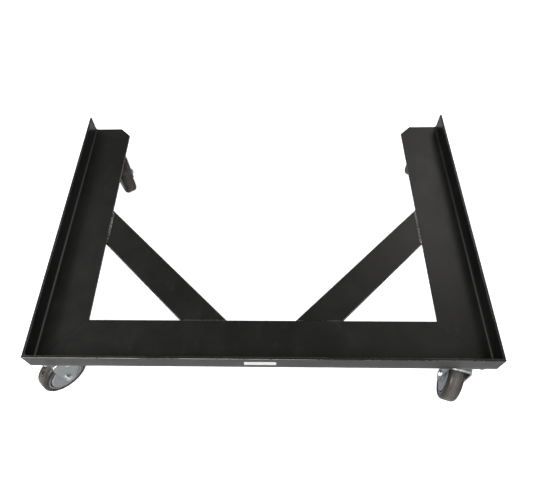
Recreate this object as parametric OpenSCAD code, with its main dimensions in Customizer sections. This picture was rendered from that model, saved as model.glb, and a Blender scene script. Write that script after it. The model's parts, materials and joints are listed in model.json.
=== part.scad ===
// Open-ended U-frame dolly: three steel angle rails, two corner braces and four swivel casters.
// The origin is on the floor under the centre of the frame. +X is right, +Y is towards the open
// end, +Z is up. Each caster is drawn about its own kingpin, with its mounting face at z = 0.

/* [Frame] */
// Width over the outer faces of the side rails
frame_width = 914.4; // [760:0.1:1100]
// Length from the front rail's outer face to the ends of the arms
frame_length = 662; // [550:1:800]
// Width of a rail, from its outer face to its inner edge
rail_width = 98.4; // [82:0.1:120]
// Height of a rail, from the underside of its deck to the top of its lip
rail_height = 44.5; // [34:0.1:60]
// Thickness of a rail's deck and lip
plate_thickness = 4.8; // [4:0.1:6]
// Radius of the rail's heel, outside the corner of deck and lip
heel_radius = 1.5; // [0.5:0.1:3]
// Radius of the fillet inside the corner of deck and lip
root_radius = 5; // [3:0.1:8]
// Chamfer on the inner corner of each arm's end
arm_chamfer = 25; // [10:1:40]

/* [Braces] */
// Width of the flat bar
brace_width = 69; // [50:1:84]
// Thickness of the flat bar
brace_thickness = 4.8; // [4:0.1:6]
// Distance from the frame's inner corner to each end of a brace's near edge
brace_reach = 192; // [140:1:228]
// Length of a brace that laps under each rail
brace_lap = 38; // [25:1:45]

/* [Welds] */
// Leg of a fillet weld
weld_leg = 4; // [3:0.1:4]
// Length of the stitch weld under each mitre
mitre_stitch = 20; // [10:1:22]

/* [Blank label] */
// Width of the label on the front lip
label_width = 62; // [40:1:90]
// Height of the label
label_height = 15; // [10:1:24]
// Thickness of the label
label_thickness = 0.6; // [0.4:0.1:1.5]

/* [Wheels] */
// Diameter over the tread
wheel_diameter = 101.6; // [84:0.1:122]
// Width of the tread
tread_width = 31.8; // [26:0.1:39]
// Radial thickness of the tread
tread_thickness = 9.8; // [8:0.1:12]
// Rounding of the tread's shoulders
tread_shoulder = 8; // [3:0.1:9]
// Radial thickness of the core's rim
rim_thickness = 4; // [3:0.1:6]
// Thickness of the core's web
web_thickness = 7; // [4:0.1:10]
// Outer diameter of the core's hub
hub_diameter = 24; // [20:0.1:28]
// How far the core's rim is set in from the tread's side
rim_inset = 1.4; // [0.5:0.1:3]
// Gap between the core's rim and the edge of a thread guard
guard_rim_gap = 2.5; // [1.5:0.1:4]
// Thickness of a thread guard
guard_thickness = 1.4; // [1:0.1:2]
// Outer diameter of a thread guard's collar
guard_collar = 19; // [17:0.1:22]

/* [Axles] */
// Diameter of the axle bolt
axle_diameter = 8; // [6:0.1:9]
// Outer diameter of the sleeve that the wheel runs on
sleeve_diameter = 12.7; // [11:0.1:15]
// Height of the bolt's head and of its thin nut
axle_nut_height = 4; // [3:0.1:6]
// Width across flats of the bolt's head and of every nut
nut_flats = 13; // [12:0.1:15]
// Length of thread that stands out past a nut
thread_stickout = 1.5; // [0.5:0.1:3]

/* [Forks] */
// Distance from the kingpin's axis to the axle's axis, seen from above
caster_lead = 33; // [30:0.1:42]
// Height from the top of the wheel to the caster's mounting face
wheel_headroom = 41.4; // [36:0.1:44]
// Thickness of the fork's sheet
fork_sheet = 3; // [2.5:0.1:3.5]
// Gap between the tread and the fork, at each side
fork_side_gap = 4.1; // [3:0.1:6]
// Gap between the top of the wheel and the fork's crown
crown_gap = 12; // [6:0.1:14]
// Inner radius of the fork's bends
fork_bend = 2; // [1:0.1:3]
// Distance from the kingpin's axis to the fork's leading edge
fork_front = 14; // [10:0.1:16]
// Radius of the toe at the lower end of a fork leg
toe_radius = 12; // [10:0.1:14]
// How far the centre of the toe lies below the axle
toe_drop = 8.6; // [4:0.1:10]
// How far the centre of the toe lies ahead of the axle
toe_advance = 1; // [0:0.1:3]
// Slope of a leg's leading edge from the floor's plane, in degrees
leg_slope = 53; // [48:1:60]

/* [Swivels] */
// Distance from the rails' outer faces, and from the arms' ends, to the kingpins
kingpin_inset = 46.5; // [46.2:0.1:58]
// Length of a mounting plate, along the arms
mount_length = 92; // [84:1:92]
// Width of a mounting plate, across the arms
mount_width = 60; // [54:1:70]
// Thickness of a mounting plate
mount_thickness = 3; // [2.5:0.1:3.5]
// Corner radius of a mounting plate
mount_corner = 7; // [3:0.1:10]
// Distance between studs along the arms
stud_pitch_long = 76.2; // [70:0.1:80]
// Distance between studs across the arms
stud_pitch_cross = 44.5; // [40:0.1:48]
// Diameter of the weld studs
stud_diameter = 8; // [6:0.1:9]
// Height of a stud's nut
stud_nut_height = 6.5; // [5:0.1:8]
// Thickness of a lock washer
washer_thickness = 2; // [1.5:0.1:2.5]
// Outer diameter of a lock washer
washer_diameter = 14; // [12.5:0.1:16]
// Diameter of the kingpin
kingpin_diameter = 12; // [9:0.1:13]
// Diameter of the balls above the fork
upper_ball = 6; // [5:0.1:6.4]
// Radius of the circle that the upper balls lie on
upper_pitch = 16; // [15:0.1:17]
// Diameter of the balls below the fork
lower_ball = 4.8; // [4:0.1:5]
// Radius of the circle that the lower balls lie on
lower_pitch = 11.6; // [11:0.1:12.5]
// Gap between the fork's dome and the race above it
upper_gap = 2.4; // [1.5:0.1:3]
// Gap between the fork's dome and the race below it
lower_gap = 1.6; // [1:0.1:2]
// Depth of the pressed race under the mounting plate
race_depth = 5; // [4:0.1:5.5]
// Diameter of the fork's dome
dome_diameter = 44; // [42:0.1:45]
// Thickness of the dome's top and wall
dome_wall = 4.4; // [4.2:0.1:4.8]
// Thickness of the race ring under the dome
ring_thickness = 4; // [3.5:0.1:4.5]

/* [Headings] */
// Direction in which the front left wheel trails, in degrees from +X
front_left_heading = 227; // [0:0.1:360]
// Direction in which the front right wheel trails
front_right_heading = 253; // [0:0.1:360]
// Direction in which the rear left wheel trails
rear_left_heading = 302; // [0:0.1:360]
// Direction in which the rear right wheel trails
rear_right_heading = 54; // [0:0.1:360]

/* [Fits] */
// Radial clearance of running fits
running_fit = 0.05; // [0.02:0.01:0.1]
// Radial clearance of a stud in the mounting plate
stud_fit = 0.3; // [0.2:0.05:0.6]
// Side gap between parts that turn past each other
side_gap = 0.4; // [0.3:0.1:1]

/* [Hidden] */
$fn = 96;
hair = 1;  // how far a cutting shape runs past the face it cuts

FRAME_PARTS = ["front_rail", "left_rail", "right_rail", "left_brace", "right_brace", "mitre_welds",
    "brace_welds", "front_label", "caster_studs", "lock_washers", "caster_nuts"];
CORNERS = ["front_left", "front_right", "rear_left", "rear_right"];
CASTER_PARTS = ["caster_plate", "kingpin", "upper_balls", "lower_balls", "race_ring", "fork",
    "axle_bolt", "axle_nut", "axle_sleeve", "thread_guards", "wheel_core", "tread"];

paint = "#26262a";
zinc = "#b9bcc0";
bright_steel = "#d6d8da";
tread_grey = "#8b8883";
core_grey = "#a9aaa8";
guard_grey = "#c4c7c9";
label_white = "#eeeeee";

// Frame
mount_z = wheel_diameter + wheel_headroom;
deck_z = mount_z + plate_thickness;
lip_z = mount_z + rail_height;
side_x = frame_width / 2;
end_y = frame_length / 2;
inner_x = side_x - rail_width;
inner_y = rail_width - end_y;
brace_span = brace_width * sqrt(2);
mitre_room = (rail_width - kingpin_inset - mount_width / 2) * sqrt(2) - weld_leg;
stitch = min(mitre_stitch, mitre_room);
lip_bead = rail_height - plate_thickness - root_radius;

// Casters
corner_x = side_x - kingpin_inset;
corner_y = end_y - kingpin_inset;
corner_at = [[-corner_x, -corner_y], [corner_x, -corner_y], [-corner_x, corner_y], [corner_x, corner_y]];
headings = [front_left_heading, front_right_heading, rear_left_heading, rear_right_heading];

// Heights below the mounting face
race_z = -mount_thickness - race_depth;
dome_z = race_z - upper_gap;
dome_ceiling = dome_z - dome_wall;
ring_z = dome_ceiling - lower_gap;
pin_head_z = ring_z - ring_thickness;
pin_head = 4;
crown_bottom = crown_gap - wheel_headroom;
crown_top = crown_bottom + fork_sheet;
axle_z = -wheel_headroom - wheel_diameter / 2;

// Widths from the wheel's mid-plane
leg_inner = tread_width / 2 + fork_side_gap;
leg_outer = leg_inner + fork_sheet;
rim_half = tread_width / 2 - rim_inset;
guard_face = rim_half + guard_thickness;
hub_half = rim_half - side_gap;

// Radii
core_radius = wheel_diameter / 2 - tread_thickness;
rim_inner = core_radius - rim_thickness;
guard_radius = rim_inner - guard_rim_gap;
sleeve_radius = sleeve_diameter / 2;
dome_radius = dome_diameter / 2;
cup_radius = dome_radius - dome_wall;
ring_radius = cup_radius - 1;
race_radius = dome_radius;
pin_radius = kingpin_diameter / 2;
pin_head_radius = pin_radius + 3.5;

// Section of a rail: x inwards from its outer face, y up from its underside.
module rail_section() {
    translate([heel_radius, 0]) square([rail_width - heel_radius, plate_thickness]);
    translate([0, heel_radius]) square([plate_thickness, rail_height - heel_radius]);
    translate([heel_radius, heel_radius]) circle(heel_radius);
    translate([plate_thickness, plate_thickness]) difference() {
        square(root_radius);
        translate([root_radius, root_radius]) circle(root_radius);
    }
}

// Front rail, mitred at both ends.
module front_rail() {
    color(paint) intersection() {
        translate([-side_x, -end_y, mount_z])
            rotate([90, 0, 90]) linear_extrude(frame_width) rail_section();
        translate([0, 0, mount_z - hair]) linear_extrude(rail_height + 2 * hair)
            polygon([[-side_x, -end_y], [side_x, -end_y], [inner_x, inner_y], [-inner_x, inner_y]]);
    }
}

// Right rail: mitred at the front, square at the back, with its inner corner chamfered.
module right_rail() {
    color(paint) intersection() {
        translate([side_x, end_y, mount_z])
            mirror([1, 0, 0]) rotate([90, 0, 0]) linear_extrude(frame_length) rail_section();
        translate([0, 0, mount_z - hair]) linear_extrude(rail_height + 2 * hair)
            polygon([[side_x, -end_y], [side_x, end_y], [inner_x + arm_chamfer, end_y],
                [inner_x, end_y - arm_chamfer], [inner_x, inner_y]]);
    }
}

module left_rail() {
    mirror([1, 0, 0]) right_rail();
}

// Outline of the right brace from above. Both ends are cut parallel to the rails that they lap, and
// on a narrow frame the two braces are cut where they meet, at the middle.
module brace_outline() {
    intersection() {
        polygon([
            [inner_x - brace_reach - brace_lap, inner_y - brace_lap],
            [inner_x + brace_lap, inner_y + brace_reach + brace_lap],
            [inner_x + brace_lap, inner_y + brace_reach + brace_span + brace_lap],
            [inner_x - brace_reach - brace_span - brace_lap, inner_y - brace_lap]
        ]);
        translate([0, -end_y]) square([side_x, frame_length]);
    }
}

module right_brace() {
    color(paint) translate([0, 0, mount_z - brace_thickness])
        linear_extrude(brace_thickness) brace_outline();
}

module left_brace() {
    mirror([1, 0, 0]) right_brace();
}

// Quarter-round weld bead along +Y, from the origin, filling the corner of +X and +Z.
module fillet_bead(length) {
    rotate([-90, 0, 0]) intersection() {
        cylinder(r = weld_leg, h = length);
        translate([0, -weld_leg, 0]) cube([weld_leg, weld_leg, length]);
    }
}

// Beads of the right brace: on its top face along each rail's edge, and under each rail at its ends.
module right_brace_beads() {
    bead = brace_span + 2 * weld_leg;
    front_end = inner_x - brace_reach - brace_lap;
    intersection() {
        union() {
            translate([inner_x, inner_y + brace_reach - weld_leg, mount_z])
                mirror([1, 0, 0]) fillet_bead(bead);
            translate([inner_x - brace_reach + weld_leg, inner_y, mount_z])
                rotate([0, 0, 90]) fillet_bead(bead);
        }
        translate([0, 0, mount_z]) linear_extrude(weld_leg) brace_outline();
    }
    translate([inner_x + brace_lap, inner_y + brace_reach + brace_lap, mount_z])
        mirror([0, 0, 1]) fillet_bead(brace_span);
    translate([front_end, inner_y - brace_lap, mount_z])
        rotate([0, 0, 90]) mirror([1, 0, 0]) mirror([0, 0, 1])
            fillet_bead(min(brace_span, front_end));
}

module brace_welds() {
    color(paint) {
        right_brace_beads();
        mirror([1, 0, 0]) right_brace_beads();
    }
}

// Welds of the right front mitre: a stitch under the deck and a bead up the corner of the lips.
module right_mitre_beads() {
    translate([inner_x, inner_y, mount_z]) rotate([0, 0, -45]) rotate([0, 90, 0])
        intersection() {
            cylinder(r = weld_leg, h = stitch);
            translate([0, -weld_leg, 0]) cube([weld_leg, 2 * weld_leg, stitch]);
        }
    translate([side_x - plate_thickness, plate_thickness - end_y, lip_z - lip_bead])
        rotate([0, 0, 90]) intersection() {
            cylinder(r = weld_leg, h = lip_bead);
            cube([weld_leg, weld_leg, lip_bead]);
        }
}

module mitre_welds() {
    color(paint) {
        right_mitre_beads();
        mirror([1, 0, 0]) right_mitre_beads();
    }
}

// Blank rounded label, centred on the flat of the front lip's outer face.
module front_label() {
    corner = label_height / 5;
    flat_z = (mount_z + heel_radius + lip_z) / 2;
    color(label_white) translate([0, -end_y, flat_z]) rotate([90, 0, 0])
        linear_extrude(label_thickness)
            rounded_rectangle(label_width, label_height, corner);
}

// Rectangle centred on the origin with exact quarter-round corners.
module rounded_rectangle(width, height, radius) {
    square([width - 2 * radius, height], center = true);
    square([width, height - 2 * radius], center = true);
    for (x = [-1, 1], y = [-1, 1])
        translate([x * (width / 2 - radius), y * (height / 2 - radius)]) circle(radius);
}

// Places its children at each stud of the four casters, at the height of the mounting faces.
module at_studs() {
    for (at = corner_at, x = [-1, 1], y = [-1, 1])
        translate([at.x + x * stud_pitch_cross / 2, at.y + y * stud_pitch_long / 2, mount_z])
            children();
}

// Hexagonal prism up from z = 0, with its upper corners chamfered.
module hexagon_block(height) {
    corner_radius = nut_flats / sqrt(3);
    chamfer = corner_radius - nut_flats / 2;
    intersection() {
        cylinder(r = corner_radius, h = height, $fn = 6);
        union() {
            cylinder(r = corner_radius, h = height - chamfer);
            translate([0, 0, height - chamfer])
                cylinder(r1 = corner_radius, r2 = nut_flats / 2, h = chamfer);
        }
    }
}

// Studs welded to the underside of the deck, with chamfered tips.
module caster_studs() {
    tip = 1;
    length = mount_thickness + washer_thickness + stud_nut_height + thread_stickout;
    color(bright_steel) at_studs() mirror([0, 0, 1]) {
        cylinder(d = stud_diameter, h = length - tip);
        translate([0, 0, length - tip])
            cylinder(d1 = stud_diameter, d2 = stud_diameter - 2 * tip, h = tip);
    }
}

// Split spring washers between the mounting plates and the nuts.
module lock_washers() {
    split = 1.2;
    color(zinc) at_studs() translate([0, 0, -mount_thickness - washer_thickness]) difference() {
        cylinder(d = washer_diameter, h = washer_thickness);
        translate([0, 0, -hair])
            cylinder(d = stud_diameter + 2 * running_fit, h = washer_thickness + 2 * hair);
        translate([0, -split / 2, -hair])
            cube([washer_diameter, split, washer_thickness + 2 * hair]);
    }
}

module caster_nuts() {
    color(bright_steel) at_studs() translate([0, 0, -mount_thickness - washer_thickness])
        mirror([0, 0, 1]) difference() {
            hexagon_block(stud_nut_height);
            translate([0, 0, -hair])
                cylinder(d = stud_diameter + 2 * running_fit, h = stud_nut_height + 2 * hair);
        }
}

// Ring of space that a circle of balls rolls in.
module ball_track(pitch, ball) {
    rotate_extrude() translate([pitch, 0]) circle(d = ball + 2 * running_fit);
}

// Circle of as many balls as fit with a small gap between them.
module ball_circle(pitch, ball) {
    count = floor(360 / (2 * asin(ball * 1.05 / (2 * pitch))));
    for (i = [0 : count - 1])
        rotate([0, 0, 360 * i / count]) translate([pitch, 0, 0]) sphere(d = ball);
}

// Mounting plate with four stud holes and the upper race pressed down from it.
module caster_plate() {
    color(zinc) difference() {
        union() {
            translate([0, 0, -mount_thickness]) linear_extrude(mount_thickness)
                rounded_rectangle(mount_width, mount_length, mount_corner);
            translate([0, 0, race_z]) cylinder(r = race_radius, h = race_depth + hair);
        }
        translate([0, 0, race_z - hair])
            cylinder(r = pin_radius + running_fit, h = race_depth + mount_thickness + 2 * hair);
        translate([0, 0, -mount_thickness])
            cylinder(r = pin_head_radius + running_fit, h = mount_thickness + hair);
        translate([0, 0, race_z - upper_gap / 2]) ball_track(upper_pitch, upper_ball);
        for (x = [-1, 1], y = [-1, 1])
            translate([x * stud_pitch_cross / 2, y * stud_pitch_long / 2, -mount_thickness - hair])
                cylinder(r = stud_diameter / 2 + stud_fit, h = mount_thickness + 2 * hair);
    }
}

// Kingpin: a rivet whose upper head is sunk in the plate and whose lower head holds the race ring.
module kingpin() {
    sunk = 0.4;
    head_chamfer = 1.5;
    color(bright_steel) {
        translate([0, 0, pin_head_z]) cylinder(r = pin_radius, h = -pin_head_z - sunk);
        translate([0, 0, -mount_thickness])
            cylinder(r = pin_head_radius, h = mount_thickness - sunk);
        translate([0, 0, pin_head_z - pin_head + head_chamfer])
            cylinder(r = pin_head_radius, h = pin_head - head_chamfer);
        translate([0, 0, pin_head_z - pin_head])
            cylinder(r1 = pin_head_radius - head_chamfer, r2 = pin_head_radius, h = head_chamfer);
    }
}

module upper_balls() {
    color(bright_steel) translate([0, 0, race_z - upper_gap / 2])
        ball_circle(upper_pitch, upper_ball);
}

module lower_balls() {
    color(bright_steel) translate([0, 0, dome_ceiling - lower_gap / 2])
        ball_circle(lower_pitch, lower_ball);
}

// Race ring inside the fork's dome, resting on the kingpin's lower head.
module race_ring() {
    color(zinc) difference() {
        translate([0, 0, pin_head_z]) cylinder(r = ring_radius, h = ring_thickness);
        translate([0, 0, pin_head_z - hair])
            cylinder(r = pin_radius + running_fit, h = ring_thickness + 2 * hair);
        translate([0, 0, dome_ceiling - lower_gap / 2]) ball_track(lower_pitch, lower_ball);
    }
}

// Downward channel: a round-cornered roof over two walls. x is across, y is up.
module channel_outline(half, top, bottom, corner) {
    translate([-half, bottom]) square([2 * half, top - corner - bottom]);
    translate([corner - half, bottom]) square([2 * (half - corner), top - bottom]);
    for (side = [-1, 1]) translate([side * (half - corner), top - corner]) circle(corner);
}

// Side view of the fork: x trails from the kingpin, y is up.
module fork_side() {
    toe = [caster_lead - toe_advance, axle_z - toe_drop];
    trailing = toe.x + toe_radius;
    crown_corner = 6;
    tangent = toe - toe_radius * [sin(leg_slope), cos(leg_slope)];
    slope_top = tangent.y + (tangent.x + fork_front) * tan(leg_slope);
    polygon([
        [-fork_front, crown_top], [trailing - crown_corner, crown_top],
        [trailing - crown_corner, crown_top - crown_corner], [trailing, crown_top - crown_corner],
        [trailing, toe.y], toe, tangent, [-fork_front, slope_top]
    ]);
    translate([trailing - crown_corner, crown_top - crown_corner]) circle(crown_corner);
    translate(toe) circle(toe_radius);
}

// Fork: a bent channel over the wheel, with a dome for the two ball races.
module fork() {
    floor_z = axle_z - toe_drop - toe_radius - hair;
    reach = caster_lead + toe_radius + fork_front + 2 * hair;
    color(zinc) difference() {
        union() {
            intersection() {
                translate([-fork_front - hair, 0, 0]) rotate([90, 0, 90]) linear_extrude(reach)
                    difference() {
                        channel_outline(leg_outer, crown_top, floor_z, fork_bend + fork_sheet);
                        channel_outline(leg_inner, crown_bottom, floor_z - hair, fork_bend);
                    }
                rotate([90, 0, 0]) linear_extrude(2 * (leg_outer + hair), center = true)
                    fork_side();
            }
            translate([0, 0, crown_bottom]) cylinder(r = dome_radius, h = dome_z - crown_bottom);
        }
        translate([0, 0, crown_bottom - hair])
            cylinder(r = cup_radius, h = dome_ceiling - crown_bottom + hair);
        translate([0, 0, dome_ceiling - hair])
            cylinder(r = pin_radius + running_fit, h = dome_wall + 2 * hair);
        translate([0, 0, race_z - upper_gap / 2]) ball_track(upper_pitch, upper_ball);
        translate([0, 0, dome_ceiling - lower_gap / 2]) ball_track(lower_pitch, lower_ball);
        translate([caster_lead, 0, axle_z]) rotate([90, 0, 0])
            cylinder(d = axle_diameter + 2 * running_fit, h = 2 * (leg_outer + hair), center = true);
    }
}

// The pieces on the axle are drawn about +Z, with the wheel's mid-plane at z = 0.

module axle_bolt() {
    tip = 1;
    shank = 2 * leg_outer + axle_nut_height + thread_stickout;
    color(bright_steel) {
        translate([0, 0, -leg_outer]) mirror([0, 0, 1]) hexagon_block(axle_nut_height);
        translate([0, 0, -leg_outer]) cylinder(d = axle_diameter, h = shank - tip);
        translate([0, 0, shank - leg_outer - tip])
            cylinder(d1 = axle_diameter, d2 = axle_diameter - 2 * tip, h = tip);
    }
}

module axle_nut() {
    color(bright_steel) translate([0, 0, leg_outer]) difference() {
        hexagon_block(axle_nut_height);
        translate([0, 0, -hair])
            cylinder(d = axle_diameter + 2 * running_fit, h = axle_nut_height + 2 * hair);
    }
}

// Sleeve clamped between the fork's legs.
module axle_sleeve() {
    color(zinc) difference() {
        cylinder(r = sleeve_radius, h = 2 * leg_inner, center = true);
        cylinder(d = axle_diameter + 2 * running_fit, h = 2 * (leg_inner + hair), center = true);
    }
}

// Disc at each side of the wheel, with a collar that reaches the fork's leg.
module thread_guards() {
    color(guard_grey) for (side = [0, 1]) mirror([0, 0, side]) difference() {
        union() {
            translate([0, 0, rim_half]) cylinder(r = guard_radius, h = guard_thickness);
            translate([0, 0, rim_half]) cylinder(d = guard_collar, h = leg_inner - rim_half);
        }
        translate([0, 0, rim_half - hair])
            cylinder(r = sleeve_radius + running_fit, h = leg_inner - rim_half + 2 * hair);
    }
}

// Moulded core: hub, web and rim in one piece.
module wheel_core() {
    color(core_grey) rotate_extrude() {
        hub_bore = sleeve_radius + running_fit;
        translate([hub_bore, -hub_half]) square([hub_diameter / 2 - hub_bore, 2 * hub_half]);
        translate([hub_bore, -web_thickness / 2]) square([core_radius - hub_bore, web_thickness]);
        translate([rim_inner, -rim_half]) square([rim_thickness, 2 * rim_half]);
    }
}

// Rubber tread moulded on the core, with round shoulders.
module tread() {
    shoulder = min(tread_shoulder, tread_thickness);
    half = tread_width / 2;
    color(tread_grey) rotate_extrude() {
        translate([core_radius, shoulder - half])
            square([tread_thickness, tread_width - 2 * shoulder]);
        translate([core_radius, -half]) square([tread_thickness - shoulder, tread_width]);
        for (side = [-1, 1]) intersection() {
            translate([wheel_diameter / 2 - shoulder, side * (half - shoulder)]) circle(shoulder);
            translate([core_radius, -half]) square([tread_thickness, tread_width]);
        }
    }
}

// Draws one piece of the caster at a corner. Plate, kingpin, balls and ring stay with the frame,
// the fork's pieces turn to the heading, and the wheel's pieces lie on the axle.
module caster_part(corner, part) {
    translate([corner_at[corner].x, corner_at[corner].y, mount_z]) {
        if (part == "caster_plate") caster_plate();
        if (part == "kingpin") kingpin();
        if (part == "upper_balls") upper_balls();
        if (part == "lower_balls") lower_balls();
        if (part == "race_ring") race_ring();
        rotate([0, 0, headings[corner]]) {
            if (part == "fork") fork();
            translate([caster_lead, 0, axle_z]) rotate([-90, 0, 0]) {
                if (part == "axle_bolt") axle_bolt();
                if (part == "axle_nut") axle_nut();
                if (part == "axle_sleeve") axle_sleeve();
                if (part == "thread_guards") thread_guards();
                if (part == "wheel_core") wheel_core();
                if (part == "tread") tread();
            }
        }
    }
}

front_rail();
left_rail();
right_rail();
left_brace();
right_brace();
mitre_welds();
brace_welds();
front_label();
caster_studs();
lock_washers();
caster_nuts();
for (corner = [0 : 3], part = CASTER_PARTS)
    caster_part(corner, part);
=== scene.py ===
"""Looks of an open-ended U-frame dolly: three steel angle rails, two braces and four swivel casters."""

import json
import math

import bmesh
import bpy
import numpy as np
from mathutils import Matrix, Vector


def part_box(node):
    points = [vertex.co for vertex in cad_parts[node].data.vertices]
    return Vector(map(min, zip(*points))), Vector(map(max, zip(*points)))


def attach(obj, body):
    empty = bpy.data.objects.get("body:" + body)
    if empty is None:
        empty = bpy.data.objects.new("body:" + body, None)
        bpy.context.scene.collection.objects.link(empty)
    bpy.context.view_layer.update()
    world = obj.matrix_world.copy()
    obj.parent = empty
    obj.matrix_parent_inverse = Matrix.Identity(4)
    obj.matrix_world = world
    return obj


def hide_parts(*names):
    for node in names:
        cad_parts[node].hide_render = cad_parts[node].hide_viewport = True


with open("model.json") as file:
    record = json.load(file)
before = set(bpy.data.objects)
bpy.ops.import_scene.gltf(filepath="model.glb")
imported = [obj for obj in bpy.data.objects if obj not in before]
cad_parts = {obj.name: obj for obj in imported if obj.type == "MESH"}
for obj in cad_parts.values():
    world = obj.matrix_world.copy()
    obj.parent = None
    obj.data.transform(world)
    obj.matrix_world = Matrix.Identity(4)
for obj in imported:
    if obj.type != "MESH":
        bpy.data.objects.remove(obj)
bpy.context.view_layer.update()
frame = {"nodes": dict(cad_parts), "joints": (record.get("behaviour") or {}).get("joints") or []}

# --- Camera --------------------------------------------------------------------------------------
# A view from above the front, a little right of the middle, turned slightly to the left.

CAMERA_TURNS = (59.13, 3.41, 2.82)
CAMERA_ASIDE = 0.025
CAMERA_BEFORE = 0.3087
CAMERA_ABOVE = 0.8874
rail_low, rail_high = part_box("front_rail")

camera_data = bpy.data.cameras.new("camera")
camera_data.lens = 31.73
camera_data.shift_x = 0.0141
camera_data.shift_y = 0.0359
camera_data.clip_start = 0.01
camera = bpy.data.objects.new("camera", camera_data)
pitch, yaw, roll = (math.radians(angle) for angle in CAMERA_TURNS)
aim = np.array([0, math.cos(pitch), -math.sin(pitch)])
right = np.array([1.0, 0, 0])
turn = np.array(Matrix.Rotation(yaw, 3, "Z"))
aim, right, down = turn @ aim, turn @ right, turn @ np.cross(aim, right)
rolled_right = math.cos(roll) * right + math.sin(roll) * down
rolled_down = math.cos(roll) * down - math.sin(roll) * right
camera_pose = np.eye(4)
camera_pose[:3, :3] = np.stack([rolled_right, -rolled_down, -aim], axis=1)
camera_pose[:3, 3] = [CAMERA_ASIDE, rail_low.y - CAMERA_BEFORE, rail_low.z + CAMERA_ABOVE]
camera.matrix_world = Matrix(camera_pose.tolist())
bpy.context.scene.collection.objects.link(camera)
bpy.context.scene.camera = camera

# --- Studio --------------------------------------------------------------------------------------
# A pale floor without a visible edge, under large soft lamps over the front, behind at the right, at
# both sides and low in front. Floor and surroundings are pale where they are seen, and throw only a
# little light at the dolly.

FLOOR_REACH = 12.0

studio = bpy.context.scene
studio.view_settings.view_transform = "Standard"
world = bpy.data.worlds.new("studio")
studio.world = world
world.use_nodes = True
surroundings = world.node_tree.nodes["Background"]
surroundings.inputs["Color"].default_value = (1.0, 0.99, 0.96, 1)


def where_seen(tree, socket, bounced, shown):
    """Gives a stage's socket one value where the camera sees it and another for all other light."""
    path = tree.nodes.new("ShaderNodeLightPath")
    choice = tree.nodes.new("ShaderNodeMapRange")
    choice.inputs["To Min"].default_value = bounced
    choice.inputs["To Max"].default_value = shown
    tree.links.new(path.outputs["Is Camera Ray"], choice.inputs["Value"])
    tree.links.new(choice.outputs["Result"], socket)


where_seen(world.node_tree, surroundings.inputs["Strength"], bounced=0.20, shown=1.06)


def soft_lamp(name, at, towards, size, watts, tint=(1, 1, 1)):
    """A square area lamp at one point, facing another."""
    data = bpy.data.lights.new(name, "AREA")
    data.shape = "SQUARE"
    data.size = size
    data.energy = watts
    data.color = tint
    lamp = bpy.data.objects.new(name, data)
    facing = (Vector(towards) - Vector(at)).to_track_quat("-Z", "Y").to_matrix()
    lamp.matrix_world = Matrix.Translation(at) @ facing.to_4x4()
    studio.collection.objects.link(lamp)


soft_lamp("key_lamp", (-0.7, -1.9, 2.3), (0, -0.1, 0), size=1.9, watts=84)
soft_lamp("fill_lamp", (1.9, -1.2, 1.9), (0, 0, 0), size=1.6, watts=8)
soft_lamp("back_lamp", (1.62, 1.90, 2.35), (0.3, 0, 0), size=1.5, watts=8.6, tint=(1.0, 0.97, 0.93))
soft_lamp("right_lamp", (2.6, 1.1, 1.0), (0, 0, 0.15), size=1.9, watts=22)
soft_lamp("left_lamp", (-2.3, 1.1, 1.5), (0, 0, 0), size=1.4, watts=16)
soft_lamp("front_lamp", (-0.9, -2.5, 0.75), (0, -0.3, 0.15), size=1.3, watts=10)

floor_mesh = bpy.data.meshes.new("floor")
floor_corners = [(FLOOR_REACH * x, FLOOR_REACH * y, 0) for x, y in ((-1, -1), (1, -1), (1, 1), (-1, 1))]
floor_mesh.from_pydata(floor_corners, [], [(0, 1, 2, 3)])
floor = bpy.data.objects.new("floor", floor_mesh)
studio.collection.objects.link(floor)
floor_paint = bpy.data.materials.new("floor_paint")
floor_paint.use_nodes = True
floor_shader = floor_paint.node_tree.nodes["Principled BSDF"]
floor_shader.inputs["Roughness"].default_value = 0.75
floor_shader.inputs["Emission Strength"].default_value = 1.0
where_seen(floor_paint.node_tree, floor_shader.inputs["Base Color"], bounced=0.62, shown=0.88)
where_seen(floor_paint.node_tree, floor_shader.inputs["Emission Color"], bounced=0.0, shown=0.80)
floor_mesh.materials.append(floor_paint)

# --- Rails ---------------------------------------------------------------------------------------
# Three lengths of steel angle, each with a wide deck leg and a lip standing up along its outer side,
# with a nearly sharp heel outside the corner and a fillet in its root. They are mitred at the front
# corners and welded, and their cut edges are a little rounded under the paint.

MM = 0.001
PLATE = 4.8 * MM
ROOT_FILLET = 5.0 * MM
HEEL = 1.5 * MM
CUT_EDGE = 0.8 * MM
MITRE_EDGE = 0.3 * MM
MITRE_GAP = 0.6 * MM
ARM_CHAMFER = 25 * MM
# The arms' edges carry less abraded paint and painted highlight than the front rail's.
ARM_WEAR_AND_HIGHLIGHT = 0.35
QUARTER_TURN = np.radians([90, 60, 30, 0])
arm_low, arm_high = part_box("right_rail")
rail_width = rail_high.y - rail_low.y
rail_height = rail_high.z - rail_low.z
root_end = PLATE + ROOT_FILLET


def arc(centre, radius, start, end, steps):
    """Points on a circular arc between two angles in degrees, with their outward directions."""
    angle = np.radians(np.linspace(start, end, steps))
    outward = np.stack([np.cos(angle), np.sin(angle)], axis=1)
    return np.array(centre) + radius * outward, outward


def straight(start, end, outward, steps=2):
    """Points evenly along a straight line, with one outward direction for all of them."""
    share = np.linspace(0, 1, steps)[:, None]
    points = (1 - share) * np.array(start) + share * np.array(end)
    return points, np.broadcast_to(np.array(outward, float), points.shape)


def closed_outline(stretches):
    """One closed outline out of arcs and lines, with a point that two stretches share kept once."""
    points = np.concatenate([stretch[0] for stretch in stretches])
    outward = np.concatenate([stretch[1] for stretch in stretches])
    step = np.linalg.norm(points - np.roll(points, 1, axis=0), axis=1)
    return points[step > 1e-7], outward[step > 1e-7]


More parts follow.
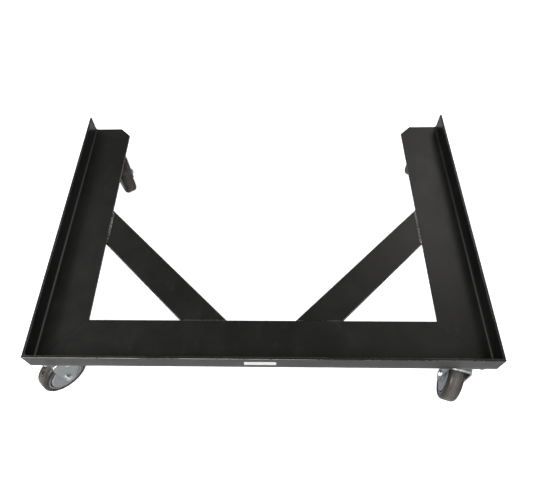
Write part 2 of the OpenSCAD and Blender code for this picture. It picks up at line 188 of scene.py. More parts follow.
def rail_section():
    """The angle's section: x inwards from the outer face, y up from the underside.

    The deck leg and the lip have one thickness. A quarter-round fillet fills the corner between
    them, the heel is a small quarter round, and so are the corners of the two free edges.
    """
    edge, wide, high, root = CUT_EDGE, rail_width, rail_height, root_end
    near = 2 * edge
    chamfer_at = wide - ARM_CHAMFER
    return closed_outline([
        straight((HEEL, 0), (chamfer_at, 0), (0, -1), 7),
        straight((chamfer_at, 0), (wide - near, 0), (0, -1), 4),
        straight((wide - near, 0), (wide - edge, 0), (0, -1)),
        arc((wide - edge, edge), edge, -90, 0, 4),
        arc((wide - edge, PLATE - edge), edge, 0, 90, 4),
        straight((wide - edge, PLATE), (wide - near, PLATE), (0, 1)),
        straight((wide - near, PLATE), (chamfer_at, PLATE), (0, 1), 4),
        straight((chamfer_at, PLATE), (root, PLATE), (0, 1), 6),
        root_fillet(),
        straight((PLATE, root), (PLATE, high - near), (1, 0), 3),
        straight((PLATE, high - near), (PLATE, high - edge), (1, 0)),
        arc((PLATE - edge, high - edge), edge, 0, 90, 4),
        arc((edge, high - edge), edge, 90, 180, 4),
        straight((0, high - edge), (0, high - near), (-1, 0)),
        straight((0, high - near), (0, HEEL), (-1, 0), 4),
        arc((HEEL, HEEL), HEEL, 180, 270, 6),
    ])


def root_fillet():
    """The hollow fillet in the corner of deck and lip, which faces its own centre."""
    points, towards_metal = arc((root_end, root_end), ROOT_FILLET, 270, 180, 9)
    return points, -towards_metal


def ring_faces(rings, around):
    """An array of four-cornered faces between rings of equal size, each ring closed on itself."""
    ring = np.arange(rings - 1)[:, None] * around
    step = np.arange(around)[None, :]
    after = (step + 1) % around
    faces = np.stack([ring + step, ring + after, ring + around + after, ring + around + step], axis=-1)
    return faces.reshape(-1, 4)


def lofted(rings, ends="flat"):
    """A closed solid from an array of rings: its points, and its faces as arrays of like ones.

    Its ends are flat, or the last ring meets the first.
    """
    count, around = rings.shape[:2]
    if ends == "joined":
        return rings.reshape(-1, 3), [ring_faces(count + 1, around) % (count * around)]
    caps = np.stack([np.arange(around)[::-1], (count - 1) * around + np.arange(around)])
    return rings.reshape(-1, 3), [ring_faces(count, around), caps]


def face_outwards(points, faces):
    """The same faces, turned over if the solid that they close has a negative volume.

    Each face is a fan of triangles, and each triangle adds its own first corner dotted with the
    cross product of the other two.
    """
    volume = sum(np.sum(points[like[:, :1]] * np.cross(points[like[:, 1:-1]], points[like[:, 2:]]))
                 for like in faces)
    return [like[:, ::-1] for like in faces] if volume < 0 else faces


def new_piece(name, solids, sharp=35, wear_and_light_share=None):
    """A mesh object from closed solids in their own places, shaded smooth but for its sharp edges."""
    all_points, all_faces, first = [], [], 0
    for points, faces in solids:
        all_points.append(points)
        for like in face_outwards(points, faces):
            all_faces += (first + like).tolist()
        first += len(points)
    mesh = bpy.data.meshes.new(name)
    mesh.from_pydata(np.concatenate(all_points).tolist(), [], all_faces)
    mesh.shade_smooth()
    mesh.set_sharp_from_angle(angle=math.radians(sharp))
    # Each point's share of abraded finish and painted light, which the material reads.
    if wear_and_light_share is not None:
        wear_and_light_layer = mesh.attributes.new("wear_and_light_share", "FLOAT", "POINT")
        wear_and_light_layer.data.foreach_set("value", wear_and_light_share.astype(np.float32))
    piece = bpy.data.objects.new(name, mesh)
    bpy.context.scene.collection.objects.link(piece)
    return piece


def finish_piece(piece, body, slot, material, *replaced):
    """Gives a new piece its material, the body that it rides on and the nodes that it stands for."""
    piece.data.materials.append(material)
    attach(piece, body)
    if replaced:
        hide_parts(*replaced)


def rail_solid(start_of, end_of, place, end_is_free):
    """The section carried along a rail. start_of and end_of say where each point begins and ends.

    At both ends a quarter-round takes the section inwards by that end's edge radius, and a mitre
    stands back a little from its joint. The second result is each point's share of abraded paint
    and painted highlight: 1 on the free edges and a free end, 0 on flats and mitres.
    """
    section, outward = rail_section()
    start, end = start_of(section[:, 0]) + MITRE_GAP, end_of(section[:, 0])
    end_edge = CUT_EDGE if end_is_free else MITRE_EDGE
    end -= 0 if end_is_free else MITRE_GAP
    rings, wear_and_highlight_share = [], []
    corner = np.abs(outward).min(axis=1) > 1e-6
    beyond_root = section.max(axis=1) > root_end
    free_edge = (corner & beyond_root).astype(float)
    for angle in QUARTER_TURN:
        inset = section - MITRE_EDGE * (1 - math.cos(angle)) * outward
        rings.append(place(start + MITRE_EDGE * (1 - math.sin(angle)), inset))
        wear_and_highlight_share.append(np.zeros(len(section)))
    near = 2 * CUT_EDGE
    for share in np.linspace(0, 1, 14):
        rings.append(place((start + near) * (1 - share) + (end - near) * share, section))
        wear_and_highlight_share.append(free_edge)
    for angle in QUARTER_TURN[::-1]:
        inset = section - end_edge * (1 - math.cos(angle)) * outward
        rings.append(place(end - end_edge * (1 - math.sin(angle)), inset))
        wear_and_highlight_share.append(np.full(len(section), float(end_is_free)))
    return lofted(np.array(rings)), np.concatenate(wear_and_highlight_share)


def front_place(along, section):
    """The front rail's section carried along X, with its lip at the front."""
    return np.stack([along, rail_low.y + section[:, 0], rail_low.z + section[:, 1]], axis=1)


def arm_place(side):
    """An arm's section carried along Y, with its lip at the outside of that side."""
    def place(along, section):
        across = side * (arm_high.x - section[:, 0])
        return np.stack([across, along, arm_low.z + section[:, 1]], axis=1)
    return place


def chamfered_end(inwards):
    """Where an arm ends at a distance from its lip: square, with its inner corner cut at 45 degrees."""
    return arm_high.y - np.maximum(0, inwards - (rail_width - ARM_CHAMFER))


def new_group(name, inputs, outputs):
    """An empty shader node group. Its inputs have a type and a default each, and its outputs a type."""
    group = bpy.data.node_groups.new(name, "ShaderNodeTree")
    for socket, (kind, default) in inputs.items():
        made = group.interface.new_socket(socket, in_out="INPUT", socket_type=f"NodeSocket{kind}")
        made.default_value = default
    for socket, kind in outputs.items():
        group.interface.new_socket(socket, in_out="OUTPUT", socket_type=f"NodeSocket{kind}")
    return group, group.nodes.new("NodeGroupInput"), group.nodes.new("NodeGroupOutput")


def feed(tree, socket, value):
    """Links a node's socket to another node's output, or sets it to a plain number or an RGB colour."""
    if isinstance(value, bpy.types.NodeSocket):
        tree.links.new(value, socket)
    else:
        socket.default_value = (*value, 1) if isinstance(value, tuple) else value


def add_noise(tree, scale, detail=3.0, roughness=0.55, stretch=(1, 1, 1)):
    """A noise texture on Object coordinates, in cells per metre, stretched along the frame's axes."""
    place = tree.nodes.new("ShaderNodeTexCoord")
    mapping = tree.nodes.new("ShaderNodeMapping")
    mapping.inputs["Scale"].default_value = stretch
    noise = tree.nodes.new("ShaderNodeTexNoise")
    noise.inputs["Detail"].default_value = detail
    noise.inputs["Roughness"].default_value = roughness
    tree.links.new(place.outputs["Object"], mapping.inputs["Vector"])
    tree.links.new(mapping.outputs["Vector"], noise.inputs["Vector"])
    feed(tree, noise.inputs["Scale"], scale)
    return noise.outputs["Fac"]


def add_range(tree, value, from_low, from_high, to_low, to_high, smooth=False):
    """A value carried from one range to another, held at the ends."""
    node = tree.nodes.new("ShaderNodeMapRange")
    node.interpolation_type = "SMOOTHSTEP" if smooth else "LINEAR"
    feed(tree, node.inputs["Value"], value)
    feed(tree, node.inputs["From Min"], from_low)
    feed(tree, node.inputs["From Max"], from_high)
    feed(tree, node.inputs["To Min"], to_low)
    feed(tree, node.inputs["To Max"], to_high)
    return node.outputs["Result"]


def add_math(tree, operation, first, second):
    """One Math node on two values or sockets."""
    node = tree.nodes.new("ShaderNodeMath")
    node.operation = operation
    feed(tree, node.inputs[0], first)
    feed(tree, node.inputs[1], second)
    return node.outputs["Value"]


def add_mix(tree, share, first, second):
    """Two colours mixed by a share. Each is a socket or an RGB colour."""
    node = tree.nodes.new("ShaderNodeMix")
    node.data_type = "RGBA"
    feed(tree, node.inputs["Factor"], share)
    feed(tree, node.inputs[6], first)
    feed(tree, node.inputs[7], second)
    return node.outputs[2]


def make_wear_and_painted_light():
    """Where a finish is abraded and light is painted on: the piece's own attribute for both,
    broken up by noise.

    Mask is 1 on bare metal with painted highlight and 0 on the whole finish, and Amount says
    how much of the edge is bare.
    """
    group, given, result = new_group(
        "wear_and_painted_light", {"Amount": ("Float", 0.5), "Scale": ("Float", 120.0)}, {"Mask": "Float"})
    wear_and_light_share = group.nodes.new("ShaderNodeAttribute")
    wear_and_light_share.attribute_name = "wear_and_light_share"
    patches = add_noise(group, given.outputs["Scale"], detail=4.0, roughness=0.65)
    broad = add_noise(group, 9.0, detail=1.0)
    spread = add_math(group, "MULTIPLY", patches, add_range(group, broad, 0.35, 0.65, 0.7, 1.3))
    limit = add_math(group, "SUBTRACT", 1.05, given.outputs["Amount"])
    onset = add_math(group, "MULTIPLY", limit, 0.8)
    mask = add_range(group, spread, onset, limit, 0.0, 1.0, smooth=True)
    group.links.new(add_math(group, "MULTIPLY", mask, wear_and_light_share.outputs["Fac"]), result.inputs["Mask"])
    return group


def make_uneven_finish():
    """A finish that isn't quite even: cloudy changes of tone and gloss, and a fine skin of bumps."""
    group, given, result = new_group(
        "uneven_finish",
        {"Tone": ("Color", (0.5, 0.5, 0.5, 1)), "Tone Change": ("Float", 0.2),
         "Gloss Change": ("Float", 0.08), "Roughness": ("Float", 0.4),
         "Cloud Scale": ("Float", 14.0), "Skin Scale": ("Float", 900.0)},
        {"Color": "Color", "Roughness": "Float", "Height": "Float"})
    clouds = add_noise(group, given.outputs["Cloud Scale"], detail=5.0, roughness=0.6)
    skin = add_noise(group, given.outputs["Skin Scale"], detail=2.0, roughness=0.5)
    even = add_range(group, clouds, 0.3, 0.7, -1.0, 1.0)
    tone = add_math(group, "ADD", 1.0, add_math(group, "MULTIPLY", even, given.outputs["Tone Change"]))
    scaled = group.nodes.new("ShaderNodeVectorMath")
    scaled.operation = "SCALE"
    group.links.new(given.outputs["Tone"], scaled.inputs[0])
    group.links.new(tone, scaled.inputs["Scale"])
    group.links.new(scaled.outputs[0], result.inputs["Color"])
    change = add_math(group, "MULTIPLY", even, given.outputs["Gloss Change"])
    rough = add_math(group, "ADD", given.outputs["Roughness"], change)
    group.links.new(rough, result.inputs["Roughness"])
    group.links.new(skin, result.inputs["Height"])
    return group


wear_and_painted_light = make_wear_and_painted_light()
uneven_finish = make_uneven_finish()


def use_group(tree, group, **values):
    """A node group placed in a material with its own values. Underscores in names stand for spaces."""
    node = tree.nodes.new("ShaderNodeGroup")
    node.node_tree = group
    for name, value in values.items():
        node.inputs[name.replace("_", " ")].default_value = value
    return node


def add_bump(tree, height, strength, distance, normal=None):
    """A normal from a height, in metres at its most, laid over another normal if one is given."""
    node = tree.nodes.new("ShaderNodeBump")
    node.inputs["Strength"].default_value = strength
    node.inputs["Distance"].default_value = distance
    tree.links.new(height, node.inputs["Height"])
    if normal is not None:
        tree.links.new(normal, node.inputs["Normal"])
    return node.outputs["Normal"]


def new_material(name, **values):
    """A material with its Principled shader, whose plain values are set straight on the sockets."""
    material = bpy.data.materials.new(name)
    material.use_nodes = True
    tree = material.node_tree
    shader = tree.nodes["Principled BSDF"]
    for socket, value in values.items():
        shader.inputs[socket.replace("_", " ")].default_value = value
    return material, tree, shader


def make_black_paint():
    """Satin black enamel over steel: cloudy gloss, orange-peel skin, faint scuffs, and edges of bare
    steel where the paint is abraded, which are also a painted highlight along them.
    """
    material, tree, shader = new_material("black_paint", Specular_IOR_Level=0.5)
    finish = use_group(tree, uneven_finish, Tone=(0.0056, 0.0055, 0.0053, 1), Tone_Change=0.3,
                       Roughness=0.34, Gloss_Change=0.05, Cloud_Scale=16.0, Skin_Scale=700.0)
    # Lighter, metallic edges: bare steel where the paint is abraded, and a painted highlight along
    # them.
    edge_wear_and_highlight = use_group(tree, wear_and_painted_light, Amount=0.55, Scale=210.0)
    scuffs = add_noise(tree, 60.0, detail=6.0, roughness=0.7, stretch=(1.0, 0.25, 1.0))
    dull = add_range(tree, scuffs, 0.56, 0.74, 0.0, 0.35, smooth=True)
    dusty = add_mix(tree, dull, finish.outputs["Color"], (0.018, 0.0175, 0.017))
    coloured = add_mix(tree, edge_wear_and_highlight.outputs["Mask"], dusty, (0.24, 0.235, 0.22))
    tree.links.new(coloured, shader.inputs["Base Color"])
    rough = add_math(tree, "ADD", finish.outputs["Roughness"], add_math(tree, "MULTIPLY", dull, 0.3))
    tree.links.new(rough, shader.inputs["Roughness"])
    tree.links.new(add_math(tree, "MULTIPLY", edge_wear_and_highlight.outputs["Mask"], 0.8), shader.inputs["Metallic"])
    warp = add_noise(tree, 11.0, detail=1.0)
    waviness = add_bump(tree, warp, 1.0, 0.12 * MM)
    skin = add_bump(tree, finish.outputs["Height"], 0.5, 0.03 * MM, waviness)
    tree.links.new(skin, shader.inputs["Normal"])
    return material


black_paint = make_black_paint()

solid, wear_and_light_share = rail_solid(lambda u: rail_low.x + u, lambda u: rail_high.x - u, front_place, False)
rail = new_piece("front_rail_plate", [solid], wear_and_light_share=wear_and_light_share)
finish_piece(rail, "frame", "black_paint", black_paint, "front_rail")
for side, node in ((-1, "left_rail"), (1, "right_rail")):
    solid, wear_and_light_share = rail_solid(lambda u: arm_low.y + u, chamfered_end, arm_place(side), True)
    arm = new_piece(f"{node}_plate", [solid], wear_and_light_share=ARM_WEAR_AND_HIGHLIGHT * wear_and_light_share)
    finish_piece(arm, "frame", "black_paint", black_paint, node)

# --- Braces --------------------------------------------------------------------------------------
# Two lengths of flat bar across the front corners at 45 degrees, cut at both ends to lie along the
# rails, lapped under the decks and welded there. Same black paint.

BRACE_WIDTH = 69 * MM
BAR_EDGE = 0.7 * MM
brace_span = BRACE_WIDTH * math.sqrt(2)


def slab(outline, low, high, edge):
    """A plate with a convex outline and quarter-round edges, from one height to another.

    Rings of the outline are drawn in by the edge radius towards both faces, along the bisector at
    each corner so that every side moves in by the same amount.
    """
    outline = np.array(outline, float)
    along = np.roll(outline, -1, axis=0) - outline
    along /= np.linalg.norm(along, axis=1)[:, None]
    sideways = np.stack([along[:, 1], -along[:, 0]], axis=1)
    before = np.roll(sideways, 1, axis=0)
    bisector = (sideways + before) / (1 + np.einsum("ij,ij->i", sideways, before))[:, None]
    # Each point's share of abraded paint and painted highlight: 1 round the edges, 0 on the faces.
    rings, wear_and_highlight_share = [], []
    levels = [*((low + edge - edge * math.sin(a), a) for a in QUARTER_TURN),
              *((high - edge + edge * math.sin(a), a) for a in QUARTER_TURN[::-1])]
    for height, angle in levels:
        flat = outline - edge * (1 - math.cos(angle)) * bisector
        rings.append(np.column_stack([flat, np.full(len(flat), height)]))
        wear_and_highlight_share.append(np.ones(len(flat)))
    face = outline - 3 * edge * bisector
    for index, height in ((0, low), (len(rings) + 1, high)):
        rings.insert(index, np.column_stack([face, np.full(len(face), height)]))
        wear_and_highlight_share.insert(index, np.zeros(len(face)))
    return lofted(np.array(rings)), np.concatenate(wear_and_highlight_share)


for side, node in ((-1, "left_brace"), (1, "right_brace")):
    low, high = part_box(node)
    far_x, near_x = (low.x, high.x) if side > 0 else (high.x, low.x)
    outline = [(far_x + side * brace_span, low.y), (near_x, high.y - brace_span),
               (near_x, high.y), (far_x, low.y)]
    solid, wear_and_light_share = slab(outline[::side], low.z, high.z, BAR_EDGE)
    bar = new_piece(f"{node}_bar", [solid], wear_and_light_share=wear_and_light_share)
    finish_piece(bar, "frame", "black_paint", black_paint, node)

# --- Welds ---------------------------------------------------------------------------------------
# Arc welds laid by hand and painted over: fillet beads where the braces lap the rails, a stitch under
# each mitre and a bead up the inside of each lip corner. Their skin is a row of overlapping ripples.

WELD_LEG = 4 * MM
RIPPLE = 2.6 * MM
MITRE_STITCH = 20 * MM
# The welds' share of light marks: bare steel where paint is abraded, and painted glints.
WELD_WEAR_AND_GLINT = 0.8


def bead(start, along, wall_a, wall_b, length, seed, sweep=90):
    """A weld bead that fills the corner between two walls.

    At each place along it, a flat-topped quarter-round spans from one wall to the other. Its height
    follows overlapping ripples, bowed forwards in the middle, with a slow waver for the hand that
    laid it, and it runs out to nothing at both ends.
    """
    steps = int(length / RIPPLE * 8)
    travel = np.linspace(0, length, steps)[:, None]
    angle = np.radians(np.linspace(0, sweep, 11))[None, :]
    wander = np.random.default_rng(seed).uniform(0, 2 * math.pi, 3)
    waves = zip((3.1, 7.3, 17.0), wander)
    waver = sum(np.sin(travel / (wave * MM) + phase) for wave, phase in waves) / 3
    bowed = travel / RIPPLE + 0.8 * np.sin(angle * 180 / sweep) + 0.25 * waver
    ripple = np.abs(np.sin(math.pi * bowed)) ** 0.7
    flat_top = 1 / (np.cos(angle) + np.sin(angle)) if sweep == 90 else np.ones_like(angle) * 0.9
    ends = np.clip(np.minimum(travel, length - travel) / WELD_LEG + 0.04, 0, 1) ** 0.5
    height = WELD_LEG * ends * (0.55 * flat_top + 0.45) * (0.84 + 0.10 * ripple + 0.05 * waver)
    side_a, side_b = np.array(wall_a, float), np.array(wall_b, float)
    out = np.cos(angle)[..., None] * side_a + np.sin(angle)[..., None] * side_b
    root = np.array(start) + travel[..., None] * np.array(along, float)
    return lofted(np.concatenate([root, root + height[..., None] * out], axis=1))


def weld_wear_and_glint(beads):
    """Paint takes badly on a weld's skin, so it is abraded all over; the same light marks are also
    painted glints on its ripples.
    """
    return np.full(sum(len(points) for points, faces in beads), WELD_WEAR_AND_GLINT)


brace_low, brace_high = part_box("right_brace")
deck_under = brace_high.z
inner_x = arm_low.x
inner_y = rail_high.y
top_beads, end_beads = [], []
for side in (-1, 1):
    far_corner = brace_low.x + (inner_y - brace_low.y)
    near_corner = brace_high.y - brace_span - (brace_high.x - inner_x)
    top_beads += [
        bead((side * inner_x, near_corner + WELD_LEG / 2, deck_under), (0, 1, 0), (-side, 0, 0),
             (0, 0, 1), brace_span - WELD_LEG, 11 + side),
        bead((side * (far_corner + WELD_LEG), inner_y, deck_under), (side, 0, 0), (0, 1, 0),
             (0, 0, 1), brace_span - WELD_LEG * 1.5, 21 + side),
    ]
    end_beads += [
        bead((side * brace_high.x, brace_high.y - brace_span, deck_under), (0, 1, 0), (side, 0, 0),
             (0, 0, -1), brace_span, 31 + side),
        bead((side * brace_low.x, brace_low.y, deck_under), (side, 0, 0), (0, -1, 0),
             (0, 0, -1), brace_span, 41 + side),
    ]
brace_beads = top_beads + end_beads
fillets = new_piece("brace_weld_beads", brace_beads, sharp=50, wear_and_light_share=weld_wear_and_glint(brace_beads))
finish_piece(fillets, "frame", "black_paint", black_paint, "brace_welds")

mitre_beads = []
for side in (-1, 1):
    diagonal = np.array([side, -1, 0]) / math.sqrt(2)
    across = np.array([-side, -1, 0]) / math.sqrt(2)
    lip_corner = (side * (arm_high.x - PLATE), rail_low.y + PLATE, deck_under + root_end)
    mitre_beads += [
        bead((side * inner_x, inner_y, deck_under), diagonal, across, (0, 0, -1),
             MITRE_STITCH, 51 + side, sweep=180),
        bead(lip_corner, (0, 0, 1), (-side, 0, 0), (0, 1, 0), rail_height - root_end, 61 + side),
    ]
stitches = new_piece("mitre_weld_beads", mitre_beads, sharp=50, wear_and_light_share=weld_wear_and_glint(mitre_beads))
finish_piece(stitches, "frame", "black_paint", black_paint, "mitre_welds")

# --- Blank label ---------------------------------------------------------------------------------
# A thin white plastic plate with rounded corners, stuck to the middle of the front lip. It is blank.

LABEL_CORNER = 3 * MM
LABEL_EDGE = 0.25 * MM


def make_label_plastic():
    """White printed plastic, slightly soiled, with a soft gloss."""
    material, tree, shader = new_material("label_plastic", Specular_IOR_Level=0.5)
    finish = use_group(tree, uneven_finish, Tone=(0.74, 0.74, 0.73, 1), Tone_Change=0.05,
                       Roughness=0.38, Gloss_Change=0.08, Cloud_Scale=90.0, Skin_Scale=1500.0)
    tree.links.new(finish.outputs["Color"], shader.inputs["Base Color"])
    tree.links.new(finish.outputs["Roughness"], shader.inputs["Roughness"])
    tree.links.new(add_bump(tree, finish.outputs["Height"], 0.3, 0.02 * MM), shader.inputs["Normal"])
    return material


low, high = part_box("front_label")
left, right = low.x + LABEL_CORNER, high.x - LABEL_CORNER
bottom, top = low.z + LABEL_CORNER, high.z - LABEL_CORNER
corners = [arc(centre, LABEL_CORNER, start, start + 90, 7)[0] for centre, start in (
    ((right, top), 0), ((left, top), 90), ((left, bottom), 180), ((right, bottom), 270))]
(points, faces), _ = slab(np.concatenate(corners), -high.y, -low.y, LABEL_EDGE)
label = new_piece("label_plate", [(points[:, [0, 2, 1]] * (1, -1, 1), faces)])
finish_piece(label, "frame", "label", make_label_plastic(), "front_label")

# --- Studs, washers and nuts ---------------------------------------------------------------------
# Four 8 mm studs are welded under the deck at each caster. The mounting plate hangs on them, held by
# split spring washers and hexagon nuts. All are bright zinc plated.

STUD = 8 * MM
THREAD_PITCH = 1.25 * MM
THREAD_DEPTH = 0.7 * MM
STUD_TIP = 1 * MM
NUT_FLATS = 13 * MM
NUT_HEIGHT = 6.5 * MM
WASHER = 14 * MM
WASHER_THICKNESS = 2 * MM
WASHER_SPLIT = 1.2 * MM
MOUNT_THICKNESS = 3 * MM
STUD_PITCH = (44.5 * MM, 76.2 * MM)
BORE = STUD / 2 + 0.05 * MM
STUD_SHOWS = 1.5 * MM
AROUND = np.linspace(0, 2 * math.pi, 61)[:-1]
DOWNWARDS = ((1, 0, 0), (0, -1, 0), (0, 0, -1))
hinges = {joint["name"]: joint for joint in frame["joints"]}
CORNERS = [name.removesuffix("_swivel_turn") for name in hinges if name.endswith("swivel_turn")]


def turned_ring(radius, height, around=AROUND):
    """One ring of points about the Z axis. Radius and height may change with the angle."""
    flat = np.zeros_like(around)
    return np.stack([radius * np.cos(around), radius * np.sin(around), flat + height], axis=1)


def hexagon_reach(flats):
    """Distance from the axis to a hexagon's sides: half the width across flats over a cosine."""
    return flats / 2 / np.cos((AROUND + math.pi / 6) % (math.pi / 3) - math.pi / 6)


def hexagon_sides(flats, low, high):
    """Four rings of a hexagon whose corners are cut by 30 degree cones at both of its faces.

    A cone meets the side lower where the hexagon reaches further, so each corner ends in an arc.
    """
    reach, face = hexagon_reach(flats), 0.475 * flats
    cut = (reach - face) * math.tan(math.radians(30))
    return [turned_ring(face, low), turned_ring(reach, low + cut),
            turned_ring(reach, high - cut), turned_ring(face, high)]


def hexagon_nut(height):
    """A nut standing on z = 0, with a countersink at both ends of its bore."""
    sink = 0.4 * MM
    rings = hexagon_sides(NUT_FLATS, 0, height)
    rings += [turned_ring(BORE + sink, height), turned_ring(BORE, height - sink),
              turned_ring(BORE, sink), turned_ring(BORE + sink, 0)]
    return lofted(np.array(rings), ends="joined")


def thread_rings(radius, start, end, tip):
    """Rings of a screw thread: the radius falls and rises with a helix, and a cone trims the tip.

    Depth at an angle and height is a triangle wave of height over pitch less the share of a turn.
    """
    heights = np.linspace(start, end, int((end - start) / THREAD_PITCH * 6) + 2)[:, None]
    turn = (heights / THREAD_PITCH - AROUND / (2 * math.pi)) % 1
    runs_in = np.clip((heights - start) / THREAD_PITCH, 0, 1)
    thread = radius - THREAD_DEPTH * runs_in * np.clip(1.3 * np.abs(2 * turn - 1) - 0.15, 0, 1)
    cone = radius - np.maximum(0, heights - (end - tip))
    return [turned_ring(r, z) for r, z in zip(np.minimum(thread, cone), heights[:, 0])]


def split_washer():
    """A square-section ring on z = 0, swept from one side of a slanted split to the other."""
    gap, slant, edge = WASHER_SPLIT / WASHER * 2, 0.12, 0.25 * MM
    inner, outer, top = BORE, WASHER / 2, WASHER_THICKNESS
    section = np.array([(inner, 0), (outer - edge, 0), (outer, edge), (outer, top - edge),
                        (outer - edge, top), (inner, top)])
    sweep = np.linspace(gap / 2, 2 * math.pi - gap / 2, 49)[:, None]
    angle = sweep + slant * (section[:, 1] / top - 0.5)
    height = np.broadcast_to(section[:, 1], angle.shape)
    radius = section[:, 0]
    return lofted(np.stack([radius * np.cos(angle), radius * np.sin(angle), height], axis=2))


def placed(solid, at, axes):
    """A solid drawn about its own axes, turned to the given ones and carried to its place."""
    points, faces = solid
    return points @ np.array(axes, float) + np.array(at), faces


def turned_about(angle):
    """Axes that hang down and are turned about the vertical by an angle."""
    c, s = math.cos(angle), math.sin(angle)
    return np.array(((c, s, 0), (-s, c, 0), (0, 0, 1))) @ np.array(DOWNWARDS)


def make_plated_steel(name, tone, tint, roughness, worn_tone):
    """Zinc-plated steel: clouds of tone and tint, a fine crystalline skin and a few dull scratches."""
    material, tree, shader = new_material(name, Metallic=1.0)
    finish = use_group(tree, uneven_finish, Tone=(*tone, 1), Tone_Change=0.12, Roughness=roughness,
                       Gloss_Change=0.09, Cloud_Scale=85.0, Skin_Scale=1600.0)
    tinting = add_range(tree, add_noise(tree, 55.0, detail=4.0), 0.45, 0.68, 0.0, 0.7, smooth=True)
    tinted = add_mix(tree, tinting, finish.outputs["Color"], tint)
    scratches = add_noise(tree, 300.0, detail=2.0, stretch=(1.0, 1.0, 0.08))
    scratched = add_range(tree, scratches, 0.66, 0.72, 0.0, 0.5, smooth=True)
    tree.links.new(add_mix(tree, scratched, tinted, worn_tone), shader.inputs["Base Color"])
    rough = add_math(tree, "ADD", finish.outputs["Roughness"],
                     add_math(tree, "MULTIPLY", scratched, 0.25))
    tree.links.new(rough, shader.inputs["Roughness"])
    tree.links.new(add_bump(tree, finish.outputs["Height"], 0.4, 0.02 * MM), shader.inputs["Normal"])
    return material


bright_plating = make_plated_steel("bright_plating", (0.72, 0.72, 0.71), (0.66, 0.62, 0.50), 0.28,
                                   (0.50, 0.49, 0.47))
zinc_plating = make_plated_steel("zinc_plating", (0.39, 0.412, 0.43), (0.38, 0.40, 0.37), 0.36,
                                 (0.34, 0.35, 0.36))

studs, washers, nuts = [], [], []
stud_spots = [(i * STUD_PITCH[0] / 2, j * STUD_PITCH[1] / 2) for i in (-1, 1) for j in (-1, 1)]
stud_length = MOUNT_THICKNESS + WASHER_THICKNESS + NUT_HEIGHT + STUD_SHOWS
spins = np.random.default_rng(5)
for corner in CORNERS:
    x, y, mount_face = hinges[f"{corner}_swivel_turn"]["pos_m"]
    for stud_x, stud_y in stud_spots:
        top = np.array((x + stud_x, y + stud_y, mount_face))
        seat = top - (0, 0, MOUNT_THICKNESS)
        face = seat - (0, 0, WASHER_THICKNESS)
        rings = [turned_ring(STUD / 2, 0)]
        rings += thread_rings(STUD / 2, MOUNT_THICKNESS, stud_length, STUD_TIP)
        studs.append(placed(lofted(np.array(rings)), top, turned_about(spins.uniform(0, 6))))
        washers.append(placed(split_washer(), seat, turned_about(spins.uniform(-0.02, 0.02))))
        nuts.append(placed(hexagon_nut(NUT_HEIGHT), face, turned_about(spins.uniform(0, 6))))
stud_threads = new_piece("stud_threads", studs)
finish_piece(stud_threads, "frame", "bright_steel", bright_plating, "caster_studs")
spring_washers = new_piece("spring_washers", washers)
finish_piece(spring_washers, "frame", "zinc_plate", zinc_plating, "lock_washers")
hexagon_nuts = new_piece("hexagon_nuts", nuts, sharp=25)
finish_piece(hexagon_nuts, "frame", "bright_steel", bright_plating, "caster_nuts")

# --- Swivels -------------------------------------------------------------------------------------
# Each caster hangs from a pressed plate. A riveted kingpin holds two races of hard steel balls above
# and below the fork's dome, so that the fork turns freely. The pin's head is ground bright.

PRESSED_EDGE = 0.4 * MM
nodes = frame["nodes"]


def softened_copy(node, name):
    """A copy of a pressed part's solid with its facets joined and its sharp edges rounded."""
    work = bmesh.new()
    work.from_mesh(nodes[node].data)
    bmesh.ops.remove_doubles(work, verts=work.verts, dist=0.002 * MM)
    bmesh.ops.dissolve_limit(work, angle_limit=math.radians(1), verts=work.verts, edges=work.edges)
    mesh = bpy.data.meshes.new(name)
    work.to_mesh(mesh)
    work.free()
    mesh.shade_smooth()
    piece = bpy.data.objects.new(name, mesh)
    bpy.context.scene.collection.objects.link(piece)
    rounding = piece.modifiers.new("rounding", "BEVEL")
    rounding.width = PRESSED_EDGE
    rounding.segments = 2
    rounding.limit_method = "ANGLE"
    rounding.angle_limit = math.radians(32)
    rounding.harden_normals = True
    return piece


def dress(node, material):
    """Gives its finish to a CAD node that stays as it is."""
    for slot in nodes[node].material_slots:
        slot.material = material


def make_ball_steel():
    """Hard polished steel under a film of grease."""
    material, tree, shader = new_material("ball_steel", Metallic=1.0, Coat_Weight=0.4)
    finish = use_group(tree, uneven_finish, Tone=(0.62, 0.60, 0.56, 1), Tone_Change=0.15,
                       Roughness=0.16, Gloss_Change=0.10, Cloud_Scale=160.0, Skin_Scale=1200.0)
    tree.links.new(finish.outputs["Color"], shader.inputs["Base Color"])
    tree.links.new(finish.outputs["Roughness"], shader.inputs["Roughness"])
    tree.links.new(add_bump(tree, finish.outputs["Height"], 0.15, 0.01 * MM), shader.inputs["Normal"])
    return material


ball_steel = make_ball_steel()
for corner in CORNERS:
    plate = softened_copy(f"{corner}_caster_plate", f"{corner}_mounting_plate")
    finish_piece(plate, "frame", "zinc_plate", zinc_plating, f"{corner}_caster_plate")
    dress(f"{corner}_kingpin", bright_plating)
    dress(f"{corner}_upper_balls", ball_steel)
    dress(f"{corner}_lower_balls", ball_steel)
    dress(f"{corner}_race_ring", zinc_plating)

# --- Forks and axles -----------------------------------------------------------------------------
# A fork is pressed from 3 mm sheet, zinc plated, and turns with its caster. The axle is a hexagon bolt
# with a thin nut, and clamps a sleeve between the fork's legs for the wheel to run on.

TREAD_WIDTH = 31.8 * MM
FORK_GAP = 4.1 * MM
FORK_SHEET = 3 * MM
HEAD_HEIGHT = 4 * MM
BOLT_SHOWS = 1.5 * MM
LEG_OUTER = TREAD_WIDTH / 2 + FORK_GAP + FORK_SHEET
LEG_INNER = LEG_OUTER - FORK_SHEET


